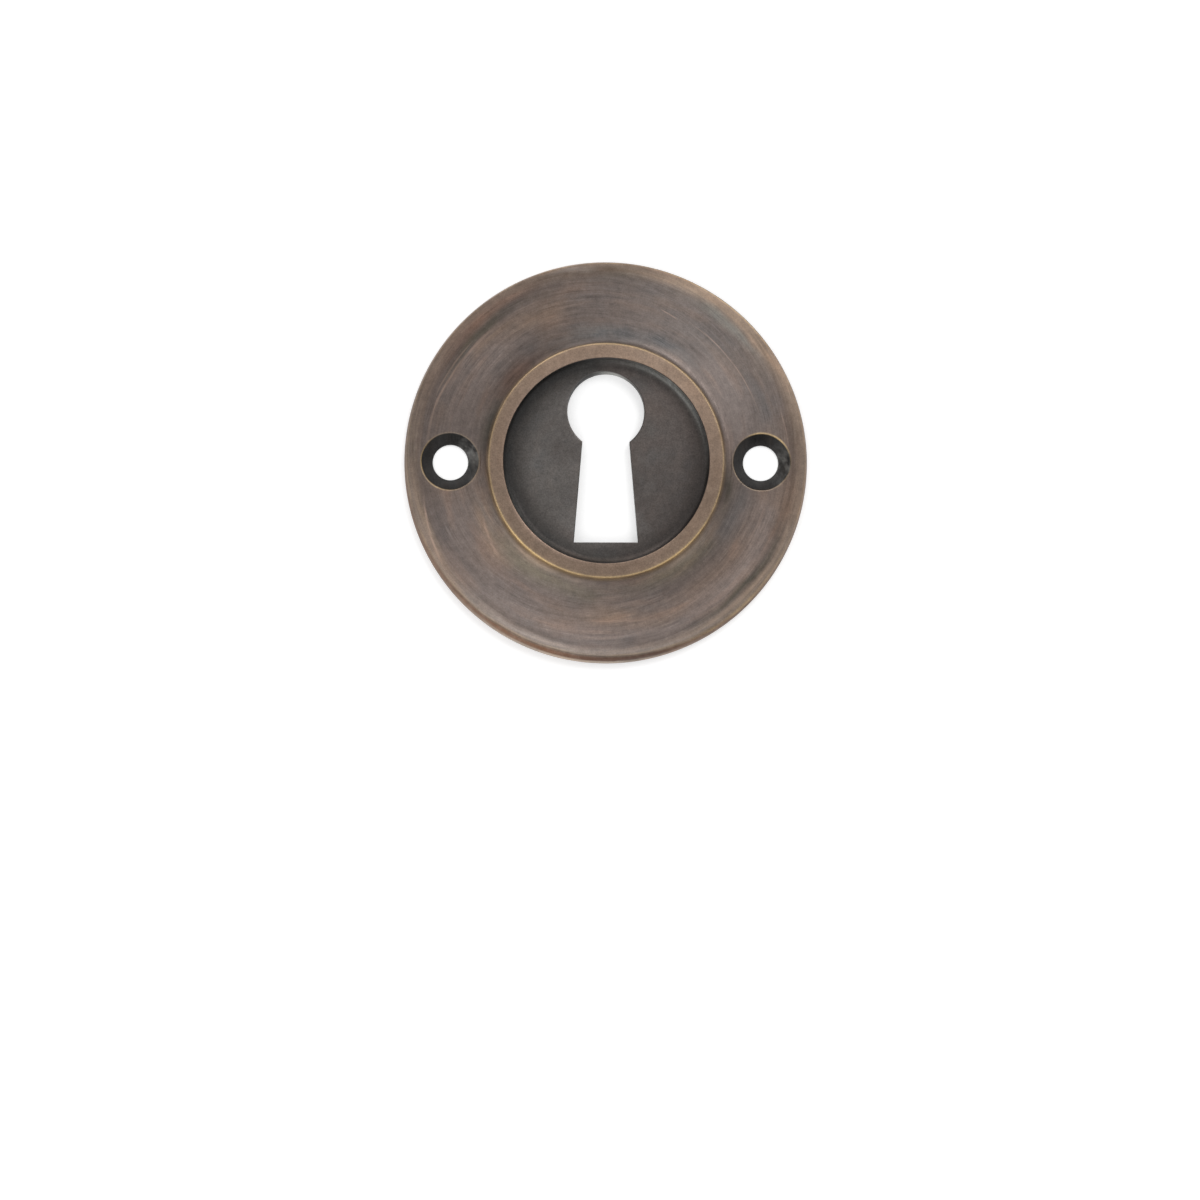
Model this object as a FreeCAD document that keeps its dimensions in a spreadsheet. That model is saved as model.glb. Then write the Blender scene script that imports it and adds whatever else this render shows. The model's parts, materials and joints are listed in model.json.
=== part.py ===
"""Round keyhole escutcheon for a drawer or cabinet door, turned from one piece of brass.

The plate is a disc with a flat back. Round a raised collar its face is flat, then dishes up
to a crowned rim. Inside the collar is a flat recessed floor with the keyhole through it, and
a countersunk screw hole lies each side of the collar.

Frame, in millimetres: the origin is the middle of the flat back, +Z points out of the door
towards the key, +Y is the keyhole's round end, and the screw holes lie along X.
"""
import FreeCAD, Part
import math
import os

import Sketcher

# Sizes run outwards from the keyhole, so each ring of the plate makes room for the one inside it.
SIZES = [
    ("key_round_diameter", 8.5, "round end of the keyhole"),
    ("key_round_rise", 5.6, "centre of the round end above the middle"),
    ("key_neck_width", 5.2, "slot where it leaves the round end"),
    ("key_foot_width", 7.1, "slot at its foot"),
    ("key_foot_drop", 8.9, "foot of the slot below the middle"),
    ("recess_land", 1.45, "least floor between the keyhole and the recess wall"),
    ("recess_fillet", 0.8, "fillet between the recess wall and the floor"),
    ("floor_thickness", 1.6, "recessed floor"),
    ("collar_width", 1.65, "flat-topped collar, wall to wall"),
    ("collar_rise", 1.7, "top of the collar above the plate"),
    ("collar_outer_bevel", 0.2, "outer top edge of the collar"),
    ("collar_inner_bevel", 0.1, "inner top edge of the collar"),
    ("collar_cove", 0.95, "cove between the collar and the plate"),
    ("plate_thickness", 1.6, "flat ring round the collar"),
    ("screw_hole_diameter", 3.9, "clearance hole"),
    ("countersink_diameter", 6.3, "countersink at the level of the flat ring"),
    ("countersink_angle", 82.0, "included angle of the countersink in degrees"),
    ("screw_land", 1.05, "countersink from the collar"),
    ("edge_land", 1.925, "countersink from the edge of the plate"),
    ("dish_width", 1.9, "dished ring that sweeps up to the rim"),
    ("dish_rise", 0.1, "foot of the rim above the flat ring"),
    ("rim_width", 1.75, "crowned rim, from its foot to the edge"),
    ("rim_rise", 0.12, "crest of the rim above its foot"),
    ("rim_crest_inset", 0.8, "crest of the rim from the edge"),
    ("rim_bevel_width", 0.55, "bevel round the rim, across the face"),
    ("rim_bevel_depth", 0.6, "bevel round the rim, down the edge"),
    ("back_bevel", 0.2, "bevel round the back edge"),
]

# Sizes that follow from those above, as formulas of the sheet.
FOLLOWING_SIZES = [
    ("key_head_reach", "key_round_rise + key_round_diameter / 2", "top of the keyhole from the middle"),
    ("key_foot_reach", "sqrt(key_foot_drop ^ 2 + (key_foot_width / 2) ^ 2)", "corner of the slot's foot"),
    ("recess_radius", "max(key_head_reach; key_foot_reach) + recess_land", "recess wall"),
    ("collar_radius", "recess_radius + collar_width", "collar's outer wall"),
    ("collar_height", "plate_thickness + collar_rise", "collar's top above the back"),
    ("screw_radius", "collar_radius + screw_land + countersink_diameter / 2", "screw hole's centre"),
    ("plate_radius", "screw_radius + countersink_diameter / 2 + edge_land", "edge of the plate"),
    ("rim_foot_radius", "plate_radius - rim_width", "foot of the rim"),
    ("rim_foot_height", "plate_thickness + dish_rise", "foot of the rim above the back"),
    ("rim_height", "rim_foot_height + rim_rise", "crest of the rim above the back"),
    (
        "countersink_depth",
        "(countersink_diameter - screw_hole_diameter) / 2 / tan(countersink_angle / 2)",
        "cone from the clearance hole to the level of the flat ring",
    ),
    ("drill_shank", "2 * plate_thickness - countersink_depth", "drill below its cone, well past the back"),
]

# How the sketcher numbers the points of a line or arc, and its own two axes.
START, END, CENTRE = range(1, 4)
Y_AXIS, X_AXIS = range(-2, 0)
ORIGIN = (X_AXIS, START)

# Directions from an arc's centre, in radians anticlockwise from the right.
UP, LEFT, DOWN, FULL_TURN = (quarter * math.pi / 2 for quarter in range(1, 5))


def make_sheet(document):
    """Put the driving dimensions and the formulas that follow from them into a spreadsheet."""
    sheet = document.addObject("Spreadsheet::Sheet", "Sizes")
    rows = [(alias, str(value), note) for alias, value, note in SIZES]
    rows += [(alias, "=" + formula, note) for alias, formula, note in FOLLOWING_SIZES]
    for row, (alias, content, note) in enumerate(rows, start=1):
        sheet.set(f"A{row}", alias)
        sheet.set(f"B{row}", content)
        sheet.set(f"C{row}", note)
        sheet.setAlias(f"B{row}", alias)
    document.recompute()
    return sheet


def origin_plane(body, role):
    """Find one of the body's own base planes, such as XZ_Plane."""
    return next(feature for feature in body.Origin.OriginFeatures if feature.Role == role)


def radius_from_level(reach, rise):
    """Radius of an arc that starts level and has turned up or down by the rise at that reach."""
    return (reach ** 2 + rise ** 2) / (2 * rise)


class DrivenSketch:
    """A sketch on one of a body's base planes, with dimensions that follow the sheet."""

    def __init__(self, body, name, plane_role):
        self.sketch = body.newObject("Sketcher::SketchObject", name)
        self.sketch.AttachmentSupport = [(origin_plane(body, plane_role), "")]
        self.sketch.MapMode = "FlatFace"

    def line(self, start, end, construction=False):
        segment = Part.LineSegment(FreeCAD.Vector(*start, 0), FreeCAD.Vector(*end, 0))
        return self.sketch.addGeometry(segment, construction)

    def arc(self, centre, radius, start_angle, end_angle):
        """Draw an arc anticlockwise from one direction to the other."""
        circle = Part.Circle(FreeCAD.Vector(*centre, 0), FreeCAD.Vector(0, 0, 1), radius)
        return self.sketch.addGeometry(Part.ArcOfCircle(circle, start_angle, end_angle), False)

    def point(self, place):
        return self.sketch.addGeometry(Part.Point(FreeCAD.Vector(*place, 0)), True)

    def relate(self, kind, *where):
        """Add a geometric constraint, such as Tangent or Vertical."""
        self.sketch.addConstraint(Sketcher.Constraint(kind, *where))

    def drive(self, kind, name, formula, *where):
        """Add a named dimension that follows a formula of the sheet."""
        value = float(self.sketch.evalExpression(formula))
        if kind == "Angle":
            value = math.radians(value)
        index = self.sketch.addConstraint(Sketcher.Constraint(kind, *where, value))
        self.sketch.renameConstraint(index, name)
        self.sketch.setExpression(f"Constraints.{name}", formula)


def draw_half_section(body, size):
    """Draw the plate's half section, right of the Y axis, anticlockwise from the middle of the back."""
    section = DrivenSketch(body, "half_section", "XZ_Plane")
    edge_x = size("plate_radius")
    back_bevel = size("back_bevel")
    bevel_width = size("rim_bevel_width")
    bevel_depth = size("rim_bevel_depth")
    crest = (edge_x - size("rim_crest_inset"), size("rim_height"))
    foot = (size("rim_foot_radius"), size("rim_foot_height"))
    face_z = size("plate_thickness")
    cove = size("collar_cove")
    collar_x = size("collar_radius")
    collar_z = size("collar_height")
    outer_bevel = size("collar_outer_bevel")
    inner_bevel = size("collar_inner_bevel")
    recess_x = size("recess_radius")
    floor_z = size("floor_thickness")
    fillet = size("recess_fillet")

    # The crown has its crest at the top of its circle, and the dish is level where it starts.
    crown_radius = radius_from_level(crest[0] - foot[0], crest[1] - foot[1])
    crown_tilt = math.asin((crest[0] - foot[0]) / crown_radius)
    brow_tilt = math.asin((edge_x - bevel_width - crest[0]) / crown_radius)
    brow_z = crest[1] - crown_radius * (1 - math.cos(brow_tilt))
    dish_radius = radius_from_level(size("dish_width"), size("dish_rise"))
    dish_tilt = math.asin(size("dish_width") / dish_radius)
    dish_x = foot[0] - size("dish_width")

    back = section.line((0, 0), (edge_x - back_bevel, 0))
    back_edge = section.line((edge_x - back_bevel, 0), (edge_x, back_bevel))
    side = section.line((edge_x, back_bevel), (edge_x, brow_z - bevel_depth))
    rim_bevel = section.line((edge_x, brow_z - bevel_depth), (edge_x - bevel_width, brow_z))
    crown = section.arc((crest[0], crest[1] - crown_radius), crown_radius, UP - brow_tilt, UP + crown_tilt)
    dish = section.arc((dish_x, face_z + dish_radius), dish_radius, DOWN, DOWN + dish_tilt)
    flat_ring = section.line((dish_x, face_z), (collar_x + cove, face_z))
    collar_foot = section.arc((collar_x + cove, face_z + cove), cove, LEFT, DOWN)
    collar_wall = section.line((collar_x, face_z + cove), (collar_x, collar_z - outer_bevel))
    outer_edge = section.line((collar_x, collar_z - outer_bevel), (collar_x - outer_bevel, collar_z))
    collar_top = section.line((collar_x - outer_bevel, collar_z), (recess_x + inner_bevel, collar_z))
    inner_edge = section.line((recess_x + inner_bevel, collar_z), (recess_x, collar_z - inner_bevel))
    recess_wall = section.line((recess_x, collar_z - inner_bevel), (recess_x, floor_z + fillet))
    recess_foot = section.arc((recess_x - fillet, floor_z + fillet), fillet, DOWN, FULL_TURN)
    floor = section.line((recess_x - fillet, floor_z), (0, floor_z))
    axis = section.line((0, floor_z), (0, 0))

    # The outline closes. The dish and the two coves run smoothly into their neighbours.
    section.relate("Coincident", back, START, *ORIGIN)
    section.relate("Coincident", back, END, back_edge, START)
    section.relate("Coincident", back_edge, END, side, START)
    section.relate("Coincident", side, END, rim_bevel, START)
    section.relate("Coincident", rim_bevel, END, crown, START)
    section.relate("Coincident", crown, END, dish, END)
    section.relate("Tangent", dish, START, flat_ring, START)
    section.relate("Tangent", flat_ring, END, collar_foot, END)
    section.relate("Tangent", collar_foot, START, collar_wall, START)
    section.relate("Coincident", collar_wall, END, outer_edge, START)
    section.relate("Coincident", outer_edge, END, collar_top, START)
    section.relate("Coincident", collar_top, END, inner_edge, START)
    section.relate("Coincident", inner_edge, END, recess_wall, START)
    section.relate("Tangent", recess_wall, END, recess_foot, END)
    section.relate("Tangent", recess_foot, START, floor, START)
    section.relate("Coincident", floor, END, axis, START)
    section.relate("Coincident", axis, END, back, START)
    for level in (back, flat_ring, collar_top, floor):
        section.relate("Horizontal", level)
    for upright in (side, collar_wall, recess_wall, axis):
        section.relate("Vertical", upright)

    # The crest is the point of the crown straight above its centre.
    crest_point = section.point(crest)
    section.relate("PointOnObject", crest_point, START, crown)
    section.relate("Vertical", crest_point, START, crown, CENTRE)

    section.drive("DistanceX", "plate_radius", "Sizes.plate_radius", *ORIGIN, side, START)
    section.drive("DistanceX", "back_bevel_width", "Sizes.back_bevel", back_edge, START, back_edge, END)
    section.drive("DistanceY", "back_bevel_depth", "Sizes.back_bevel", back_edge, START, back_edge, END)
    section.drive("DistanceX", "rim_bevel_width", "Sizes.rim_bevel_width", rim_bevel, END, rim_bevel, START)
    section.drive("DistanceY", "rim_bevel_depth", "Sizes.rim_bevel_depth", rim_bevel, START, rim_bevel, END)
    section.drive("DistanceX", "rim_crest_inset", "Sizes.rim_crest_inset", crest_point, START, side, START)
    section.drive("DistanceY", "rim_height", "Sizes.rim_height", *ORIGIN, crest_point, START)
    section.drive("DistanceX", "rim_foot_radius", "Sizes.rim_foot_radius", *ORIGIN, dish, END)
    section.drive("DistanceY", "rim_foot_height", "Sizes.rim_foot_height", *ORIGIN, dish, END)
    section.drive("DistanceX", "dish_width", "Sizes.dish_width", dish, START, dish, END)
    section.drive("DistanceY", "plate_thickness", "Sizes.plate_thickness", *ORIGIN, flat_ring, END)
    section.drive("Radius", "collar_cove", "Sizes.collar_cove", collar_foot)
    section.drive("DistanceX", "collar_radius", "Sizes.collar_radius", *ORIGIN, collar_wall, START)
    section.drive("DistanceY", "collar_height", "Sizes.collar_height", *ORIGIN, collar_top, START)
    for name, edge, low, high in (("outer", outer_edge, START, END), ("inner", inner_edge, END, START)):
        bevel = f"Sizes.collar_{name}_bevel"
        section.drive("DistanceX", f"{name}_bevel_width", bevel, edge, END, edge, START)
        section.drive("DistanceY", f"{name}_bevel_depth", bevel, edge, low, edge, high)
    section.drive("DistanceX", "recess_radius", "Sizes.recess_radius", *ORIGIN, recess_wall, START)
    section.drive("Radius", "recess_fillet", "Sizes.recess_fillet", recess_foot)
    section.drive("DistanceY", "floor_thickness", "Sizes.floor_thickness", *ORIGIN, floor, END)
    return section.sketch


def draw_keyhole(body, size):
    """Draw the keyhole from the back: a round end, and a slot that widens towards its foot."""
    keyhole = DrivenSketch(body, "keyhole_outline", "XY_Plane")
    radius = size("key_round_diameter") / 2
    rise = size("key_round_rise")
    neck = size("key_neck_width") / 2
    foot = size("key_foot_width") / 2
    foot_y = -size("key_foot_drop")
    neck_y = rise - math.sqrt(radius ** 2 - neck ** 2)
    neck_tilt = math.asin(neck / radius)

    head = keyhole.arc((0, rise), radius, neck_tilt - UP, DOWN - neck_tilt)
    left_side = keyhole.line((-neck, neck_y), (-foot, foot_y))
    foot_edge = keyhole.line((-foot, foot_y), (foot, foot_y))
    right_side = keyhole.line((foot, foot_y), (neck, neck_y))

    keyhole.relate("Coincident", head, END, left_side, START)
    keyhole.relate("Coincident", left_side, END, foot_edge, START)
    keyhole.relate("Coincident", foot_edge, END, right_side, START)
    keyhole.relate("Coincident", right_side, END, head, START)
    keyhole.relate("PointOnObject", head, CENTRE, Y_AXIS)
    keyhole.relate("Symmetric", head, START, head, END, Y_AXIS)
    keyhole.relate("Symmetric", foot_edge, START, foot_edge, END, Y_AXIS)

    keyhole.drive("Radius", "round_radius", "Sizes.key_round_diameter / 2", head)
    keyhole.drive("DistanceY", "round_rise", "Sizes.key_round_rise", *ORIGIN, head, CENTRE)
    keyhole.drive("DistanceX", "neck_width", "Sizes.key_neck_width", head, END, head, START)
    keyhole.drive("DistanceX", "foot_width", "Sizes.key_foot_width", foot_edge, START, foot_edge, END)
    keyhole.drive("DistanceY", "foot_drop", "Sizes.key_foot_drop", foot_edge, START, *ORIGIN)
    return keyhole.sketch


def draw_screw_hole(body, size):
    """Draw half of the countersinking drill, right of its own axis, as it stands in the plate."""
    drill = DrivenSketch(body, "drill_section", "XZ_Plane")
    middle = size("screw_radius")
    shank_edge = middle + size("screw_hole_diameter") / 2
    tip_z = -size("plate_thickness")
    neck_z = tip_z + size("drill_shank")
    shoulder_z = size("rim_height")
    cone_slope = math.tan(math.radians(size("countersink_angle") / 2))
    shoulder_edge = shank_edge + (shoulder_z - neck_z) * cone_slope
    top_z = size("collar_height")

    axis = drill.line((middle, tip_z), (middle, top_z), construction=True)
    tip = drill.line((middle, tip_z), (shank_edge, tip_z))
    shank = drill.line((shank_edge, tip_z), (shank_edge, neck_z))
    cone = drill.line((shank_edge, neck_z), (shoulder_edge, shoulder_z))
    shoulder = drill.line((shoulder_edge, shoulder_z), (shoulder_edge, top_z))
    top = drill.line((shoulder_edge, top_z), (middle, top_z))
    core = drill.line((middle, top_z), (middle, tip_z))

    outline = [tip, shank, cone, shoulder, top, core]
    for side, following in zip(outline, outline[1:] + outline[:1]):
        drill.relate("Coincident", side, END, following, START)
    drill.relate("Coincident", axis, START, tip, START)
    drill.relate("Coincident", axis, END, top, END)
    for level in (tip, top):
        drill.relate("Horizontal", level)
    for upright in (shank, shoulder, core):
        drill.relate("Vertical", upright)

    # The tip is a plate's thickness past the back, and the shoulder is no lower than the rim.
    drill.drive("DistanceX", "screw_radius", "Sizes.screw_radius", *ORIGIN, tip, START)
    drill.drive("DistanceY", "tip_depth", "Sizes.plate_thickness", tip, START, *ORIGIN)
    drill.drive("DistanceX", "hole_radius", "Sizes.screw_hole_diameter / 2", tip, START, tip, END)
    drill.drive("DistanceY", "shank_length", "Sizes.drill_shank", shank, START, shank, END)
    drill.drive("Angle", "half_angle", "Sizes.countersink_angle / 2", cone, START, axis, START)
    drill.drive("DistanceY", "shoulder_height", "Sizes.rim_height", *ORIGIN, cone, END)
    drill.drive("DistanceY", "top_height", "Sizes.collar_height", *ORIGIN, top, START)
    return drill.sketch


def build_escutcheon(document, sheet):
    """Turn the plate, cut the keyhole, then drill one screw hole and mirror it to the other side."""
    body = document.addObject("PartDesign::Body", "escutcheon")
    body.Label = "escutcheon"
    body.Placement = FreeCAD.Placement()

    def size(alias):
        return float(sheet.get(alias))

    plate = body.newObject("PartDesign::Revolution", "turned_plate")
    plate.Profile = draw_half_section(body, size)
    plate.ReferenceAxis = (plate.Profile[0], ["V_Axis"])
    plate.Angle = 360
    document.recompute()

    keyhole = body.newObject("PartDesign::Pocket", "keyhole")
    keyhole.Profile = draw_keyhole(body, size)
    keyhole.Type = "ThroughAll"
    keyhole.Reversed = True
    document.recompute()

    screw_hole = body.newObject("PartDesign::Groove", "screw_hole")
    screw_hole.Profile = draw_screw_hole(body, size)
    screw_hole.ReferenceAxis = (screw_hole.Profile[0], ["Axis0"])
    screw_hole.Angle = 360
    document.recompute()

    other_screw_hole = body.newObject("PartDesign::Mirrored", "other_screw_hole")
    other_screw_hole.Originals = [screw_hole]
    other_screw_hole.MirrorPlane = (origin_plane(body, "YZ_Plane"), [""])
    body.Tip = other_screw_hole
    document.recompute()

    steps = [plate, keyhole, screw_hole, other_screw_hole]
    for before, after in zip(steps, steps[1:]):
        if after.Shape.Volume >= before.Shape.Volume:
            raise RuntimeError(f"{after.Name} removed nothing")
    return body


def check_document(document):
    """Stop if anything in the document failed to build."""
    for item in document.Objects:
        if "Invalid" in item.State or "Error" in item.State:
            raise RuntimeError(f"{item.Name} failed: {item.State}")


def export(body):
    """Write the finished solid under the sub-part's own name."""
    if body.Shape.isNull() or not body.Shape.isValid():
        raise RuntimeError(f"{body.Label} has no valid shape")
    os.makedirs("parts", exist_ok=True)
    body.Shape.exportStep(f"parts/{body.Label}.step")


document = FreeCAD.newDocument("keyhole_escutcheon")
sizes = make_sheet(document)
escutcheon = build_escutcheon(document, sizes)
check_document(document)
export(escutcheon)
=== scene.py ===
"""Finish, camera and light of the keyhole escutcheon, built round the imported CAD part.

One revolved mesh replaces the CAD node. It has the same section with worn, rounded edges,
and the keyhole and both countersinks are part of its grid, so every edge shades cleanly.
"""
import json
import math

import bmesh
import bpy
import numpy as np
from mathutils import Matrix, Vector, noise


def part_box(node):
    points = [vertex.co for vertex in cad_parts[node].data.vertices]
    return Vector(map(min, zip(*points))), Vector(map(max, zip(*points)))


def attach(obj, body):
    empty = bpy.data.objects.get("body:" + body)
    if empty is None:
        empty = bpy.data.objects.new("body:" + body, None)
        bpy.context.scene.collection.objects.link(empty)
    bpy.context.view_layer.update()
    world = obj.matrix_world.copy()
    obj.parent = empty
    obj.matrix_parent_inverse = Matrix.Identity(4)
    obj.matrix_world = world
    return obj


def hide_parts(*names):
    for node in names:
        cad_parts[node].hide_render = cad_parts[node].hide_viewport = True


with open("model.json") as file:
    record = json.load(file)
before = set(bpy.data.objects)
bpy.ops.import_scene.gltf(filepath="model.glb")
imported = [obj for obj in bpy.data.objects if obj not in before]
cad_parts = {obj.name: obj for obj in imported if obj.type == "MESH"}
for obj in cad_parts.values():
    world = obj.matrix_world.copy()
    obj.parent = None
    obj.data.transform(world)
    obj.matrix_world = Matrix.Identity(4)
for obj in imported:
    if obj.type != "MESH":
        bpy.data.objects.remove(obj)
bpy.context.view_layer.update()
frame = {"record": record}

MM = 0.001

# Sizes in millimetres. The frame gives what it holds, and the rest repeats the CAD part's section.
MOUNTS = {mount["name"]: mount for mount in frame["record"]["mounts"]}
NODE_LOW, NODE_HIGH = (np.array(corner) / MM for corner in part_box("escutcheon"))
PLATE_RADIUS = NODE_HIGH[0]
COLLAR_TOP = NODE_HIGH[2]
SCREW_X = MOUNTS["screw_holes"]["dims"]["spacing_x_mm"] / 2
SCREW_HOLE_RADIUS = MOUNTS["screw_holes"]["dims"]["hole_r_mm"]
KEY_ROUND_RADIUS = MOUNTS["key_hole"]["dims"]["r_mm"]
KEY_ROUND_Y = MOUNTS["key_hole"]["pos_m"][1] / MM
KEY_NECK = 5.2 / 2
KEY_FOOT = 7.1 / 2
KEY_FOOT_Y = -8.9
FLOOR_Z = 1.6
RECESS_RADIUS = 11.3
RECESS_FILLET = 0.8
COLLAR_RADIUS = RECESS_RADIUS + 1.65
COLLAR_COVE = 0.95
FACE_Z = 1.6
COUNTERSINK_RADIUS = 6.3 / 2
COUNTERSINK_SLOPE = 1 / math.tan(math.radians(82 / 2))
RIM_FOOT = (PLATE_RADIUS - 1.75, FACE_Z + 0.1)
DISH_START = RIM_FOOT[0] - 1.9
RIM_CREST = (PLATE_RADIUS - 0.8, RIM_FOOT[1] + 0.12)
RIM_BEVEL = (0.55, 0.6)
BACK_BEVEL = 0.2

# The rim was filed by hand. Its brow lies this much further out, and further in below, where its line
# is ragged and the edge was filed too. The middle of that arc and half its spread are in degrees.
BROW_OUT = 0.35
BROW_IN_BELOW = 0.69
BROW_RAGGED = 0.09
EDGE_IN_BELOW = 0.03
FILED_AZIMUTH = 260
FILED_SPREAD = 58

# The collar's outer edge stands out by this much at the lower left.
COLLAR_OUT = 0.12
COLLAR_OUT_AZIMUTH = 218
COLLAR_OUT_SPREAD = 34

# How far the turned rings stray from true, always inwards, and the countersinks, either way.
UNEVEN = 0.03
CONE_UNEVEN = 0.045

# How far each edge is worn round, in millimetres.
COLLAR_OUTER_WEAR = 0.2
COLLAR_INNER_WEAR = 0.13
RIM_FOOT_WEAR = 1.2
RIM_BROW_WEAR = 0.15
RIM_SIDE_WEAR = 0.5
BACK_WEAR = 0.16
KEYHOLE_WEAR = 0.1
COUNTERSINK_WEAR = 0.1
HOLE_BACK_WEAR = 0.06

# The keyhole's round end opens out this much at the front, up and to the left, where the punch leant.
KEY_FLARE = 0.26
KEY_FLARE_AZIMUTH = 112
KEY_FLARE_SPREAD = 42

# The grid: spokes all the way round, half of those that a countersink's patch takes, and its longest step.
SPOKES = 400
PATCH_HALF_SPOKES = 18
LONGEST_STEP = 0.34

# The rings of the grid round a countersink's lip lie this far inside and outside of it.
LIP_INSIDE = 0.12
LIP_OUTSIDE = 0.09

# The floor's spokes fan out from this point, so that they spread evenly round the keyhole.
FLOOR_FAN = (0, 1.0)


def level_arc_radius(reach, rise):
    """Radius of an arc that starts level and has risen by the rise at that reach."""
    return (reach ** 2 + rise ** 2) / (2 * rise)


def arc_points(centre, radius, start, end, steps):
    """Points (radius, height) along an arc of the section, its angles in radians."""
    angles = np.linspace(start, end, steps + 1)
    return [(centre[0] + radius * math.cos(a), centre[1] + radius * math.sin(a)) for a in angles]


def worn_corner(before, corner, after, radius):
    """Round a corner of the section, with a support point each side of the round."""
    corner = np.array(corner)
    back = np.array(before) - corner
    ahead = np.array(after) - corner
    back_length, ahead_length = np.linalg.norm(back), np.linalg.norm(ahead)
    back, ahead = back / back_length, ahead / ahead_length
    half = math.acos(np.clip(back @ ahead, -1, 1)) / 2
    reach = min(radius / math.tan(half), 0.7 * back_length, 0.7 * ahead_length)
    radius = reach * math.tan(half)
    centre = corner + (back + ahead) / np.linalg.norm(back + ahead) * radius / math.sin(half)
    first, last = corner + back * reach, corner + ahead * reach
    turn = math.pi - 2 * half
    steps = max(4, math.ceil(math.degrees(turn) / 11))
    points = [corner + back * reach * 1.3]
    for share in np.linspace(0, 1, steps + 1):
        blend = (first - centre) * math.sin((1 - share) * turn) + (last - centre) * math.sin(share * turn)
        points.append(centre + blend / math.sin(turn))
    points.append(corner + ahead * reach * 1.3)
    return [tuple(p) for p in points]


def plate_section():
    """The plate's section from the edge of the recessed floor, over the rim, to the back."""
    crown_radius = level_arc_radius(RIM_CREST[0] - RIM_FOOT[0], RIM_CREST[1] - RIM_FOOT[1])
    crown_centre = (RIM_CREST[0], RIM_CREST[1] - crown_radius)
    crown_tilt = math.asin((RIM_CREST[0] - RIM_FOOT[0]) / crown_radius)
    brow_x = PLATE_RADIUS - RIM_BEVEL[0]
    brow_tilt = math.asin((brow_x - RIM_CREST[0]) / crown_radius)
    dish_radius = level_arc_radius(RIM_FOOT[0] - DISH_START, RIM_FOOT[1] - FACE_Z)
    dish_tilt = math.asin((RIM_FOOT[0] - DISH_START) / dish_radius)
    up, down = math.pi / 2, -math.pi / 2

    fillet = arc_points((RECESS_RADIUS - RECESS_FILLET, FLOOR_Z + RECESS_FILLET), RECESS_FILLET, down, 0, 10)
    cove = arc_points((COLLAR_RADIUS + COLLAR_COVE, FACE_Z + COLLAR_COVE), COLLAR_COVE, 2 * up, 3 * up, 10)
    dish = arc_points((DISH_START, FACE_Z + dish_radius), dish_radius, down, down + dish_tilt, 9)
    crown = arc_points(crown_centre, crown_radius, up + crown_tilt, up - brow_tilt, 8)
    brow = crown[-1]
    sharp = [
        *((point, 0) for point in fillet),
        ((RECESS_RADIUS, COLLAR_TOP), COLLAR_INNER_WEAR),
        ((COLLAR_RADIUS, COLLAR_TOP), COLLAR_OUTER_WEAR),
        *((point, 0) for point in cove),
        *((point, 0) for point in dish[:-1]),
        (dish[-1], RIM_FOOT_WEAR),
        *((point, 0) for point in crown[1:-1]),
        (brow, RIM_BROW_WEAR),
        ((PLATE_RADIUS, brow[1] - RIM_BEVEL[1]), RIM_SIDE_WEAR),
        ((PLATE_RADIUS, BACK_BEVEL), BACK_WEAR),
        ((PLATE_RADIUS - BACK_BEVEL, 0), BACK_WEAR),
        ((PLATE_RADIUS - 2 * BACK_BEVEL, 0), 0),
    ]
    section = []
    for index, (point, wear) in enumerate(sharp):
        if wear:
            section += worn_corner(sharp[index - 1][0], point, sharp[index + 1][0], wear)
        else:
            section.append(point)
    return divided(section, LONGEST_STEP)


def divided(section, longest):
    """Divide the long stretches of a section."""
    points = [section[0]]
    for start, end in zip(section, section[1:]):
        parts = max(1, math.ceil(math.dist(start, end) / longest))
        points += [tuple(np.array(start) + (np.array(end) - np.array(start)) * k / parts)
                   for k in range(1, parts + 1)]
    return points


def keyhole_corners():
    """The keyhole's four corners, anticlockwise: right of the neck, left of it, left foot, right foot."""
    neck_y = KEY_ROUND_Y - math.sqrt(KEY_ROUND_RADIUS ** 2 - KEY_NECK ** 2)
    return [(KEY_NECK, neck_y), (-KEY_NECK, neck_y), (-KEY_FOOT, KEY_FOOT_Y), (KEY_FOOT, KEY_FOOT_Y)]


def keyhole_outline(angles):
    """One point of the keyhole's outline for each spoke, with a point at each corner."""
    corners = keyhole_corners()
    middle = np.array(FLOOR_FAN)
    rim = (RECESS_RADIUS - RECESS_FILLET) * np.stack([np.cos(angles), np.sin(angles)], 1) - middle
    spoke_angles = np.unwrap(np.arctan2(rim[:, 1], rim[:, 0]))
    corner_spokes = []
    for corner in corners:
        angle = math.atan2(corner[1] - middle[1], corner[0])
        turns = np.round((spoke_angles - angle) / (2 * math.pi))
        corner_spokes.append(int(np.argmin(np.abs(spoke_angles - angle - turns * 2 * math.pi))))
    outline = np.zeros((SPOKES, 2))
    neck_tilt = math.asin(KEY_NECK / KEY_ROUND_RADIUS)
    for index, corner in enumerate(corners):
        first = corner_spokes[index]
        count = (corner_spokes[(index + 1) % 4] - first) % SPOKES
        for step in range(count):
            share = step / count
            if index == 0:
                angle = -math.pi / 2 + neck_tilt + share * (2 * math.pi - 2 * neck_tilt)
                point = (KEY_ROUND_RADIUS * math.cos(angle),
                         KEY_ROUND_Y + KEY_ROUND_RADIUS * math.sin(angle))
            else:
                following = corners[(index + 1) % 4]
                point = np.array(corner) * (1 - share) + np.array(following) * share
            outline[(first + step) % SPOKES] = point
    return outline


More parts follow.
